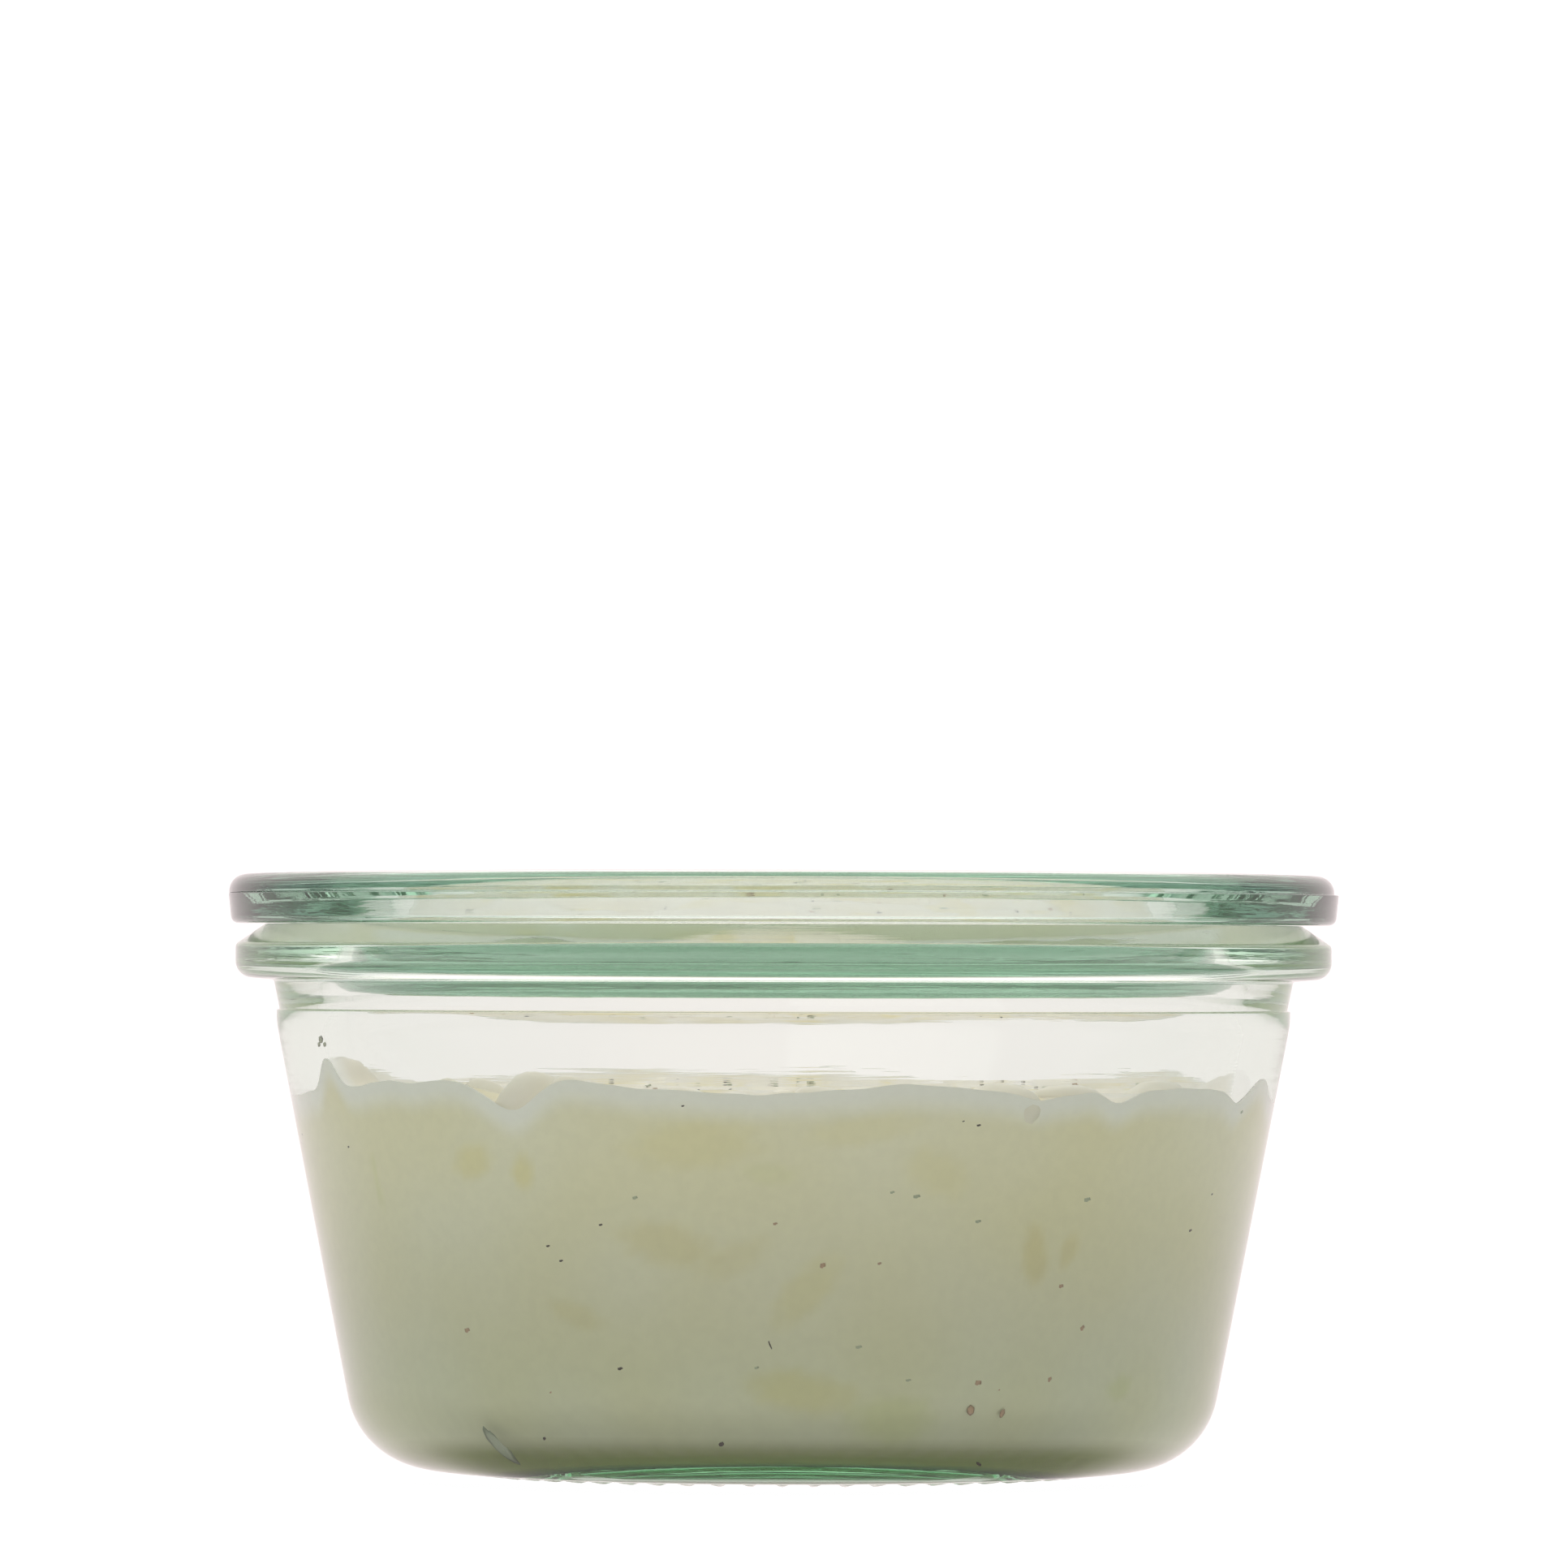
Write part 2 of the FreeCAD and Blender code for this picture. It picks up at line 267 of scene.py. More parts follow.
def close_rings(bm: bmesh.types.BMesh, rings: list[list[bmesh.types.BMVert]]) -> None:
    """Joins each ring of points to the next one with faces that point outwards.

    Args:
        bm: Geometry that holds the points.
        rings: Rings in order; one that lies on the axis has a single point.
    """
    for first, second in zip(rings, rings[1:]):
        count = max(len(first), len(second))
        for k in range(count):
            after = (k + 1) % count
            if len(first) == 1:
                bm.faces.new((first[0], second[k], second[after]))
            elif len(second) == 1:
                bm.faces.new((first[k], second[0], first[after]))
            else:
                bm.faces.new((first[k], second[k], second[after], first[after]))
    bmesh.ops.recalc_face_normals(bm, faces=bm.faces)


# ---- node trees


class Tree:
    """A node tree that is written as a list of short calls."""

    def __init__(self, tree: bpy.types.NodeTree) -> None:
        """Keeps the tree that the calls add to."""
        self.tree = tree

    def add(self, kind: str, inputs: dict | None = None, **settings: object) -> bpy.types.Node:
        """Adds a node.

        Args:
            kind: The node's type name.
            inputs: Input names or numbers, each with a value or a socket to link.
            settings: Properties of the node.

        Returns:
            The node.
        """
        node = self.tree.nodes.new(kind)
        for name, value in settings.items():
            setattr(node, name, value)
        for key, value in (inputs or {}).items():
            if isinstance(value, Socket):
                self.tree.links.new(value, node.inputs[key])
            else:
                node.inputs[key].default_value = value
        return node

    def math(self, operation: str, *values: object) -> Socket:
        """The result of a Math node over values or sockets."""
        return self.add("ShaderNodeMath", dict(enumerate(values)), operation=operation).outputs[0]

    def product(self, *values: object) -> Socket:
        """The product of values or sockets.

        Args:
            *values: Two or more values or sockets.

        Returns:
            The socket with the product.
        """
        result = values[0]
        for value in values[1:]:
            result = self.math("MULTIPLY", result, value)
        return result

    def ramp(self, value: object, low: float, high: float, start: float, end: float) -> Socket:
        """Eases from start to end while value goes from low to high.

        Args:
            value: Value or socket that drives it.
            low: Value at the start.
            high: Value at the end.
            start: Result up to low.
            end: Result from high on.

        Returns:
            The socket with the result.
        """
        limits = {"From Min": low, "From Max": high, "To Min": start, "To Max": end}
        inputs = {"Value": value, **limits}
        return self.add("ShaderNodeMapRange", inputs, interpolation_type="SMOOTHSTEP").outputs[0]

    def blend(self, share: object, first: object, second: object) -> Socket:
        """The colour that lies a share of the way from first to second."""
        inputs = {0: share, 6: opaque(first), 7: opaque(second)}
        return self.add("ShaderNodeMix", inputs, data_type="RGBA").outputs[2]


def opaque(colour: object) -> object:
    """A colour with full opacity; a socket stays as it is."""
    return colour if isinstance(colour, Socket) else (*colour, 1.0)


class Shader(Tree):
    """The tree of a new material.

    Attributes:
        material: The material.
        place: Socket with the place on the object.
    """

    def __init__(self, name: str) -> None:
        """Makes the material and clears its tree.

        Args:
            name: Name of the material.
        """
        self.material = bpy.data.materials.new(name)
        self.material.use_nodes = True
        self.material.node_tree.nodes.clear()
        super().__init__(self.material.node_tree)
        self.place = self.add("ShaderNodeTexCoord").outputs["Object"]

    def noise(self, place: Socket, scale: float, detail: float) -> Socket:
        """Noise from 0 to 1 at a place."""
        inputs = {"Vector": place, "Scale": scale, "Detail": detail}
        return self.add("ShaderNodeTexNoise", inputs).outputs[0]

    def surface(self, inputs: dict, height: Socket | None = None, bump: tuple = ()) -> Socket:
        """A Principled surface.

        Args:
            inputs: Its inputs.
            height: Height that its bumps follow, if it has any.
            bump: Strength of the bumps and their height in metres.

        Returns:
            The surface's socket.
        """
        if height:
            waves = {"Height": height, "Strength": bump[0], "Distance": bump[1]}
            inputs = {**inputs, "Normal": self.add("ShaderNodeBump", waves).outputs[0]}
        return self.add("ShaderNodeBsdfPrincipled", inputs).outputs[0]

    def finished(self, surface: Socket, volume: Socket | None = None) -> bpy.types.Material:
        """The material, once its surface and what fills it are linked.

        Args:
            surface: What its surface is.
            volume: What fills it, if anything.

        Returns:
            The material.
        """
        inputs = {"Surface": surface}
        if volume:
            inputs["Volume"] = volume
        self.add("ShaderNodeOutputMaterial", inputs)
        return self.material


class InputKind(Enum):
    """Kinds of named input that the geometry trees have."""

    SHAPE = "NodeSocketGeometry"
    NUMBER = "NodeSocketFloat"
    COUNT = "NodeSocketInt"
    FINISH = "NodeSocketMaterial"


class ShapeTree:
    """A Geometry Nodes tree with named inputs, and its use on one object."""

    def __init__(self, name: str, values: dict[str, tuple[InputKind, object]]) -> None:
        """Makes the tree.

        Args:
            name: Name of the tree.
            values: Kind and value of each named input besides the shape.
        """
        self.group = bpy.data.node_groups.new(name, "GeometryNodeTree")
        self.values = {label: value for label, (_, value) in values.items()}
        sockets = self.group.interface
        for label, (kind, _) in {"Shape": (InputKind.SHAPE, None), **values}.items():
            sockets.new_socket(label, in_out="INPUT", socket_type=kind.value)
        sockets.new_socket("Shape", in_out="OUTPUT", socket_type=InputKind.SHAPE.value)
        self.tree = Tree(self.group)
        self.given = self.tree.add("NodeGroupInput").outputs
        self.result = self.tree.add("NodeGroupOutput")

    def finish(self, shape: Socket, material: Socket) -> None:
        """Ends the tree in Realize Instances and Set Material.

        Args:
            shape: Shape with instances.
            material: Finish of the shape.
        """
        real = self.tree.add("GeometryNodeRealizeInstances", {"Geometry": shape}).outputs[0]
        inputs = {"Geometry": real, "Material": material}
        dressed = self.tree.add("GeometryNodeSetMaterial", inputs).outputs[0]
        self.group.links.new(dressed, self.result.inputs[0])

    def apply(self, piece: Piece) -> None:
        """Runs the tree on a piece and keeps the result as its plain mesh.

        Args:
            piece: Object whose mesh goes in.
        """
        modifier = piece.modifiers.new(self.group.name, "NODES")
        modifier.node_group = self.group
        for item in self.group.interface.items_tree:
            if item.item_type == "SOCKET" and item.in_out == "INPUT" and item.name in self.values:
                modifier[item.identifier] = self.values[item.name]
        bpy.context.view_layer.update()
        evaluated = piece.evaluated_get(bpy.context.evaluated_depsgraph_get())
        result = bpy.data.meshes.new_from_object(evaluated)
        piece.modifiers.remove(modifier)
        piece.data = result
        result.shade_smooth()


# ---- finishes


@dataclass(frozen=True)
class GlassFinish:
    """Clear pressed glass that looks green through a long way of it.

    Attributes:
        absorption: Light lost in each millimetre of glass, for red, green and blue.
        refraction: The glass's refractive index.
        streak: Strength and height in metres of the faint turned streaks of the mould.
        streak_scale: How fine the streaks are along each axis.
    """

    name: str
    absorption: Colour = (0.0191, 0.0096, 0.0161)
    refraction: float = 1.52
    streak: Span = (0.02, 0.0004)
    streak_scale: tuple[float, float, float] = (45.0, 45.0, 1500.0)

    def material(self) -> bpy.types.Material:
        """Builds the finish.

        Returns:
            The material.
        """
        shader = Shader(self.name)
        stretch = {"Vector": shader.place, "Scale": self.streak_scale}
        stretched = shader.add("ShaderNodeMapping", stretch).outputs[0]
        inputs = {
            "Base Color": opaque(WHITE),
            "Roughness": 0.0,
            "IOR": self.refraction,
            "Transmission Weight": 1.0,
        }
        surface = shader.surface(inputs, shader.noise(stretched, 1.0, 3.0), self.streak)
        most = max(self.absorption)
        tint = opaque(1 - loss / most for loss in self.absorption)
        filling = {"Color": tint, "Density": most / MM}
        body = shader.add("ShaderNodeVolumeAbsorption", filling).outputs[0]
        return shader.finished(surface, body)


@dataclass(frozen=True)
class CreamFinish:
    """Moist cream whose colour comes from the mesh.

    Attributes:
        grain: How much the fine grain lightens and darkens the colour.
        grain_scale: Size of the grain, in patches to the metre.
        bump: Strength and height in metres of the grain's bumps.
        coat: Strength and roughness of the moist film.
    """

    name: str = "cream"
    grain: float = 0.015
    grain_scale: float = 900.0
    bump: Span = (0.05, 0.0003)
    roughness: float = 0.42
    coat: Span = (0.25, 0.12)

    def material(self) -> bpy.types.Material:
        """Builds the finish.

        Returns:
            The material.
        """
        shader = Shader(self.name)
        paint = shader.add("ShaderNodeAttribute", attribute_name=PAINT).outputs["Color"]
        grain = shader.noise(shader.place, self.grain_scale, 4.0)
        depth = shader.ramp(grain, *NOISE_SPAN, 1 - self.grain, 1 + self.grain)
        toned = shader.add("ShaderNodeVectorMath", {0: paint, "Scale": depth}, operation="SCALE")
        inputs = {
            "Base Color": toned.outputs[0],
            "Roughness": self.roughness,
            "Coat Weight": self.coat[0],
            "Coat Roughness": self.coat[1],
        }
        return shader.finished(shader.surface(inputs, grain, self.bump))


@dataclass(frozen=True)
class PlainFinish:
    """One colour with a little unevenness.

    Attributes:
        colour: Main colour.
        other: Colour that it drifts to.
        scale: Size of the drift, in patches to the metre.
    """

    name: str
    colour: Colour
    other: Colour
    roughness: float = 0.5
    scale: float = 1500.0

    def material(self) -> bpy.types.Material:
        """Builds the finish.

        Returns:
            The material.
        """
        shader = Shader(self.name)
        drift = shader.noise(shader.place, self.scale, 2.0)
        colour = shader.blend(drift, self.colour, self.other)
        inputs = {"Base Color": colour, "Roughness": self.roughness}
        return shader.finished(shader.surface(inputs))


@dataclass(frozen=True)
class GlowingFloorFinish:
    """A white table that glows like a lamp, with a shade painted in front of the foot.

    Attributes:
        tone: Colour of the light from the table, for all but the camera.
        brightness: Brightness of the open table.
        shade: Share of the light that is lost in the shade.
        ring: Radii at which the shade begins, is full, begins to clear and is gone.
        front: How far in front of the axis the shade is full, and where it ends.
    """

    name: str = "table"
    tone: Colour = LIGHT_TONE
    brightness: float = 1.1
    shade: float = 0.6
    ring: tuple[float, float, float, float] = (33.0, 35.0, 40.0, 44.0)
    front: Span = (28.0, 15.0)

    def material(self) -> bpy.types.Material:
        """Builds the finish.

        Returns:
            The material.
        """
        shader = Shader(self.name)
        away = shader.add("ShaderNodeVectorMath", {0: shader.place}, operation="LENGTH")
        begin, full, clearing, gone = (radius * MM for radius in self.ring)
        inside = shader.ramp(away.outputs["Value"], begin, full, 0.0, self.shade)
        outside = shader.ramp(away.outputs["Value"], clearing, gone, 1.0, 0.0)
        ahead = shader.add("ShaderNodeSeparateXYZ", {0: shader.place}).outputs["Y"]
        near, far = (-distance * MM for distance in self.front)
        # Painted shadow: the table's glow is dimmed in a ring in front of the foot.
        lost = shader.product(inside, outside, shader.ramp(ahead, near, far, 1.0, 0.0))
        lit = shader.product(self.brightness, shader.math("SUBTRACT", 1.0, lost))
        seen = shader.add("ShaderNodeLightPath").outputs["Is Camera Ray"]
        colour = shader.blend(seen, self.tone, WHITE)
        light = {"Color": colour, "Strength": shader.math("MAXIMUM", lit, seen)}
        return shader.finished(shader.add("ShaderNodeEmission", light).outputs[0])


# ---- the glass


@dataclass
class JarGlass:
    """The tapered glass bowl with its collar rim, ledge and ring of foot ribs.

    Lengths are in millimetres. The height and the rim come from the frame.
    """

    finish: GlassFinish
    height: float = field(default_factory=lambda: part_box("glass_jar")[1].z / MM)
    rim_radius: float = field(default_factory=lambda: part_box("glass_jar")[1].x / MM)
    segments: int = 480
    bearing: float = 0.45
    taper: float = 0.1935
    body_radius: float = 50.3
    shoulder_height: float = 44.6
    ledge_height: float = 45.85
    ledge_width: float = 0.3
    neck_radius: float = 50.6
    neck_top: float = 48.75
    collar_foot: float = 49.1
    lip_width: float = 2.9
    lip_drop: float = 2.0
    mouth_radius: float = 46.4
    mouth_flare: float = 2.33
    mouth_depth: float = 7.4
    base_height: float = 5.1
    inner_heel_round: float = 6.0
    kick_radius: float = 27.0
    kick_slope: float = 7.0
    kick_height: float = 0.9
    rib_count: int = 64
    rib_ring_radius: float = 31.0
    rib_length: float = 4.6
    rib_fullness: float = 0.7
    waviness: float = 0.03
    wave_rise: float = 0.12
    underside_slack: float = 0.01
    underside_reach: float = 0.05

    def throat(self) -> float:
        """Height at which the straight mouth meets the tapered inside."""
        return self.height - self.mouth_depth

    def inside(self, height: float) -> float:
        """Radius of the tapered inside at a height."""
        return self.mouth_radius - self.taper * (self.throat() - height)

    def section(self) -> Section:
        """The half section of the glass, from the kick round to the inside floor.

        Returns:
            The section, in millimetres.
        """
        heel = self.body_radius - self.taper * (self.shoulder_height - self.bearing)
        land = self.rim_radius - self.lip_width
        kick_top = self.bearing + self.kick_height
        rows = (  # radius, height and rounding of each corner
            (0, kick_top),
            (self.kick_radius - self.kick_slope, kick_top, 3.0),
            (self.kick_radius, self.bearing, 3.0),
            (heel, self.bearing, 8.6),
            (self.body_radius, self.shoulder_height, 9.0),
            (self.body_radius, self.ledge_height, 0.12),
            (self.body_radius - self.ledge_width, self.ledge_height, 0.1),
            (self.neck_radius, self.neck_top, 0.3),
            (self.rim_radius, self.collar_foot, 1.7),
            (self.rim_radius, self.height - self.lip_drop, 0.6),
            (land, self.height, 0.6),
            (self.mouth_radius + self.mouth_flare, self.height, 1.0),
            (self.mouth_radius, self.throat(), 6.0),
            (self.inside(self.base_height), self.base_height, self.inner_heel_round),
            (0, self.base_height),
        )
        low, high = (self.bearing + side * self.underside_slack for side in (-1, 1))
        return Section([Corner(*row) for row in rows], fine_band=(low, high))

    def ripple(self, radius: float, height: float, turn: float) -> Span:
        """The slight unevenness of pressed glass."""
        return radius + self.waviness * mould_wave(turn, height * self.wave_rise, 1.0), height

    def rib_tree(self, material: bpy.types.Material) -> ShapeTree:
        """The tree that presses the ring of ribs out of the underside.

        Args:
            material: Finish of the glass.

        Returns:
            The tree with its values.
        """
        values = {
            "Ribs": (InputKind.COUNT, self.rib_count),
            "Ring radius": (InputKind.NUMBER, self.rib_ring_radius * MM),
            "Rib length": (InputKind.NUMBER, self.rib_length * MM),
            "Rib height": (InputKind.NUMBER, self.bearing * MM),
            "Finish": (InputKind.FINISH, material),
        }
        tree = ShapeTree("foot_ribs", values)
        nodes, given = tree.tree, tree.given
        place = nodes.add("GeometryNodeInputPosition").outputs[0]
        x, y, z = nodes.add("ShaderNodeSeparateXYZ", {0: place}).outputs
        squares = nodes.math("ADD", nodes.product(x, x), nodes.product(y, y))
        off = nodes.math("SUBTRACT", nodes.math("SQRT", squares), given["Ring radius"])
        half = nodes.product(given["Rib length"], 0.5)
        share = nodes.math("DIVIDE", nodes.math("ABSOLUTE", off), half)
        along = nodes.math("SQRT", nodes.math("MAXIMUM", nodes.math("SUBTRACT", 1.0, share), 0.0))
        wave = nodes.math("COSINE", nodes.product(nodes.math("ARCTAN2", y, x), given["Ribs"]))
        across = nodes.math("POWER", nodes.math("MAXIMUM", wave, 0.0), self.rib_fullness)
        under = nodes.math("LESS_THAN", z, (self.bearing + self.underside_reach) * MM)
        fall = nodes.product(across, along, given["Rib height"], under, -1.0)
        offset = nodes.add("ShaderNodeCombineXYZ", {2: fall}).outputs[0]
        shape = {"Geometry": given["Shape"], "Offset": offset}
        moved = nodes.add("GeometryNodeSetPosition", shape)
        tree.finish(moved.outputs[0], given["Finish"])
        return tree

    def build(self) -> Piece:
        """Builds the bowl and fixes it in the frame.

        Returns:
            The finished piece.
        """
        material = self.finish.material()
        glass = turned("jar_bowl", self.section(), self.segments, material, self.ripple)
        self.rib_tree(material).apply(glass)
        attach(glass, "root")
        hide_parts("glass_jar")
        return glass


@dataclass
class LidGlass:
    """The glass lid: a brim round a recess, over a plug that is hollowed below.

    Lengths are in millimetres. The heights and the radius come from the frame. The part
    of the brim above the mould step is shifted a little, and waves grow towards the brim.
    """

    finish: GlassFinish
    jar: JarGlass
    top: float = field(default_factory=lambda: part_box("glass_lid")[1].z / MM)
    foot: float = field(default_factory=lambda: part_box("glass_lid")[0].z / MM)
    radius: float = field(default_factory=lambda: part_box("glass_lid")[1].x / MM)
    seat_gap: float = 0.05
    crown: float = 0.25
    step: float = 0.25
    step_height: float = 3.0
    mould_shift: float = 0.2
    draft: float = 0.3
    recess_radius: float = 43.0
    recess_draft: float = 1.0
    recess_depth: float = 4.75
    bevel_width: float = 4.5
    bevel_depth: float = 2.25
    plug_clearance: float = 1.7
    plug_draft: float = 2.2
    plug_foot_width: float = 5.0
    hollow_slope: float = 27.0
    hollow_depth: float = 2.0
    waviness: float = 0.02
    wave_rise: float = 0.3
    waved: Span = (20.0, 45.0)
    shifted: Span = (50.0, 54.0)
    shift_rise: float = 0.05
    segments: int = 420

    def section(self) -> Section:
        """The half section of the lid, from the recess round to the hollow.

        Returns:
            The section, in millimetres.
        """
        seat = self.jar.height + self.seat_gap
        floor = self.top - self.recess_depth
        plug = self.jar.mouth_radius + self.jar.mouth_flare - self.plug_clearance
        plug_corner = plug - self.plug_draft
        hollow_edge = plug_corner - self.plug_foot_width
        hollow_top = self.foot + self.hollow_depth
        rows = (  # radius, height and rounding of each corner
            (0, floor),
            (self.recess_radius - self.recess_draft, floor, 1.6),
            (self.recess_radius, self.top - self.bevel_depth, 0.3),
            (self.recess_radius + self.bevel_width, self.top, 1.6),
            (self.radius - self.step, self.top - self.crown, 1.7),
            (self.radius - self.step, seat + self.step_height, 0.1),
            (self.radius, seat + self.step_height, 0.1),
            (self.radius - self.draft, seat, 0.8),
            (plug, seat, 0.15),
            (plug_corner, self.foot, 0.8),
            (hollow_edge, self.foot, 4.0),
            (hollow_edge - self.hollow_slope, hollow_top, 12.0),
            (0, hollow_top),
        )
        return Section([Corner(*row) for row in rows])

    def ripple(self, radius: float, height: float, turn: float) -> Span:
        """The slight unevenness of pressed glass.

        Args:
            radius: Radius of a point.
            height: Height of the point.
            turn: Turn of the point, in radians.

        Returns:
            The new radius and height.
        """
        wave = self.waviness * mould_wave(turn, height * self.wave_rise, 2.0)
        above_step = height - self.jar.height - self.seat_gap - self.step_height
        moved = self.mould_shift * math.cos(turn) * smooth_step(0, self.shift_rise, above_step)
        moved *= smooth_step(*self.shifted, radius)
        return radius + wave - moved, height + wave * smooth_step(*self.waved, radius)

    def build(self) -> Piece:
        """Builds the lid and fixes it in the frame.

        Returns:
            The finished piece.
        """
        material = self.finish.material()
        glass = turned("jar_lid", self.section(), self.segments, material, self.ripple)
        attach(glass, "root")
        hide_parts("glass_lid")
        return glass


# ---- the filling


@dataclass(frozen=True)
class Rise:
    """A rise (+) or dip (-) in the line that the cream draws on the glass.

    Angles are in degrees from the front towards +X, lengths in millimetres.
    """

    angle: float
    height: float
    half_width: float


@dataclass(frozen=True)
class SoftPiece:
    """A piece of vegetable that shows dimly through the cream, against the glass."""

    angle: float
    height: float
    half_length: float
    half_height: float
    tilt: float
    strength: float
    colour: Colour

    def share(self, angle: float, radius: float, height: float) -> float:
        """How much of the piece shows at a place on the wall.

        Args:
            angle: Degrees from the front.
            radius: The wall's radius there.
            height: Height above the foot.

        Returns:
            The share, from 0 to its strength.
        """
        across = math.radians(turn_between(angle, self.angle)) * radius
        tilt = math.radians(self.tilt)
        up = height - self.height
        u = across * math.cos(tilt) + up * math.sin(tilt)
        v = up * math.cos(tilt) - across * math.sin(tilt)
        away = math.hypot(u / self.half_length, v / self.half_height)
        ragged = RAGGED_EDGE * soft_noise(u * RAGGED_WAVES, v * RAGGED_WAVES, self.angle, 7.0)
        return self.strength * smooth_step(*PIECE_EDGE, away + ragged)


@dataclass(frozen=True)
class Relief:
    """Smooth noise over the cream's top: its spread in millimetres, its layer and its seed."""

    spread: Span
    layer: float
    seed: float

    def at(self, place: Span) -> float:
        """The noise at a place, about -1 to 1."""
        x, y = (a / reach for a, reach in zip(place, self.spread))
        return soft_noise(x, y, self.layer, self.seed)


RAGGED_EDGE = 0.25  # how much noise roughens a soft piece's outline
RAGGED_WAVES = 0.8
PIECE_EDGE = (1.4, 0.5)  # where a soft piece begins and is full, as shares of its size
WAVES = Relief((13.0, 13.0), 0.3, 4.0)
CURDS = Relief((4.5, 4.5), 1.3, 5.0)
DENTS = Relief((8.0, 8.0), 2.3, 8.0)
SUNK_PIECES = Relief((5.0, 3.5), 4.3, 9.0)
OCHRE: Colour = (0.97, 0.93, 0.70)
GHERKIN: Colour = (0.92, 0.95, 0.78)
BEIGE: Colour = (0.94, 0.90, 0.74)


@dataclass
class CreamFilling:
    """The cream with its spooned top, which meets the glass in an uneven line.

    Lengths are in millimetres. A span runs from where something begins to where it is full.
    """

    jar: JarGlass
    finish: CreamFinish = CreamFinish()
    level: float = 38.3
    lean: float = 0.4
    hollow: float = 0.4
    wall_reach: float = 0.12
    floor_gap: float = 0.05
    floor_radius: float = 32.3
    segments: int = 480
    wall_rows: int = 64
    top_rows: int = 70
    # Painted light and shade: the cream is painted lighter towards the top and darker lower down,
    # for how the light falls on it.
    painted_light_colour: Colour = (0.93, 0.90, 0.67)
    body_colour: Colour = (0.71, 0.71, 0.53)
    painted_shade_colour: Colour = (0.64, 0.67, 0.48)
    # Painted shade: the heel is painted much darker, for the little light that reaches it.
    painted_heel_shade_colour: Colour = (0.29, 0.32, 0.10)
    # The thin film of cream below the line, painted lighter for the light that shines through it.
    lit_film_colour: Colour = (1.0, 1.0, 0.92)
    top_colour: Colour = (0.88, 0.84, 0.73)
    # Painted shade: a near-black colour for the dark line that the glass shows where the cream's
    # floor leaves it.
    painted_dark_line_colour: Colour = (0.01, 0.012, 0.005)
    painted_light_span: Span = (15.0, 38.0)
    painted_shade_span: Span = (20.0, 7.0)
    heel_shade_top: float = 6.1
    lit_film_span: Span = (3.4, 0.5)
    painted_dark_line_span: Span = (0.2, 0.9)
    sunk_span: Span = (0.25, 0.5)
    yellowing: Span = (0.25, 0.35)
    drift_waves: float = 4.0
    drift_rise: float = 0.09
    line_wave: float = 0.25
    line_waves: float = 14.0
    waves: float = 0.7
    curds: float = 0.45
    dents: float = 2.6
    dent_tint: float = 1.6
    dented: Span = (3.0, 12.0)
    bank: Span = (4.5, 0.8)
    climb: float = 0.35
    climb_width: float = 1.1
    rim_inset: float = 0.25
    floor_step: float = 0.3
    rises: tuple[Rise, ...] = tuple(
        Rise(*row)
        for row in (
            (-84, -0.3, 6), (-68, 3.2, 2.2), (-54, 0.9, 5), (-43.5, 0.9, 3), (-34, -2.0, 3.0),
            (-25.5, 1.1, 4), (-3, -0.4, 4.5), (15, 0.6, 5), (32.5, -0.9, 2.5), (44, -1.0, 2.2),
            (56, 0.4, 5), (69, -1.0, 2), (77, 1.8, 3.2), (92, -0.8, 9), (118, 0.6, 9),
            (150, -1.4, 8), (174, 0.4, 9), (-158, 0.6, 10), (-125, -1.2, 8), (-104, 0.7, 8),
        )
    )
    pieces: tuple[SoftPiece, ...] = tuple(
        SoftPiece(*row)
        for row in (
            (-41.0, 31.8, 2.3, 1.6, 20, 0.8, OCHRE),
            (-33.6, 30.7, 1.2, 1.7, 10, 0.9, OCHRE),
            (-15.0, 24.0, 4.4, 2.0, -12, 0.8, BEIGE),
            (-6.2, 22.6, 3.4, 1.5, 28, 0.5, BEIGE),
            (-27.7, 17.1, 2.8, 1.1, -20, 0.6, BEIGE),
            (3.0, 19.5, 4.0, 1.8, 50, 0.6, OCHRE),
            (2.6, 9.8, 4.6, 2.0, -8, 0.9, OCHRE),
            (15.4, 7.4, 4.2, 2.1, -6, 0.9, GHERKIN),
            (33.8, 22.8, 1.3, 2.7, 14, 1.0, BEIGE),
            (39.0, 23.3, 1.0, 1.8, -20, 0.8, BEIGE),
            (19.0, 31.0, 3.2, 2.0, -30, 0.4, OCHRE),
            (-11.0, 33.5, 6.0, 2.2, 4, 0.5, OCHRE),
            (52.0, 9.9, 1.6, 1.2, 10, 0.8, GHERKIN),
            (-1.5, 30.8, 2.6, 1.0, -6, 0.4, GHERKIN),
            (10.0, 35.0, 5.0, 1.4, 8, 0.4, OCHRE),
            (-60.0, 29.8, 0.5, 2.8, 6, 0.6, GHERKIN),
        )
    )

    def wall_line(self, angle: float) -> float:
        """Height at which the cream meets the glass.

        Args:
            angle: Degrees from the front.

        Returns:
            The height above the foot.
        """
        height = self.level + self.lean * math.cos(math.radians(angle))
        for rise in self.rises:
            height += rise.height * bell(turn_between(angle, rise.angle), rise.half_width)
        return height + self.line_wave * self.round_noise(angle, self.line_waves, 0.0, 3.0)

    @staticmethod
    def round_noise(angle: float, waves: float, height: float, seed: float) -> float:
        """Noise round the wall that is busier for more waves."""
        x, y = spot(waves, angle)
        return soft_noise(x, -y, height, seed)

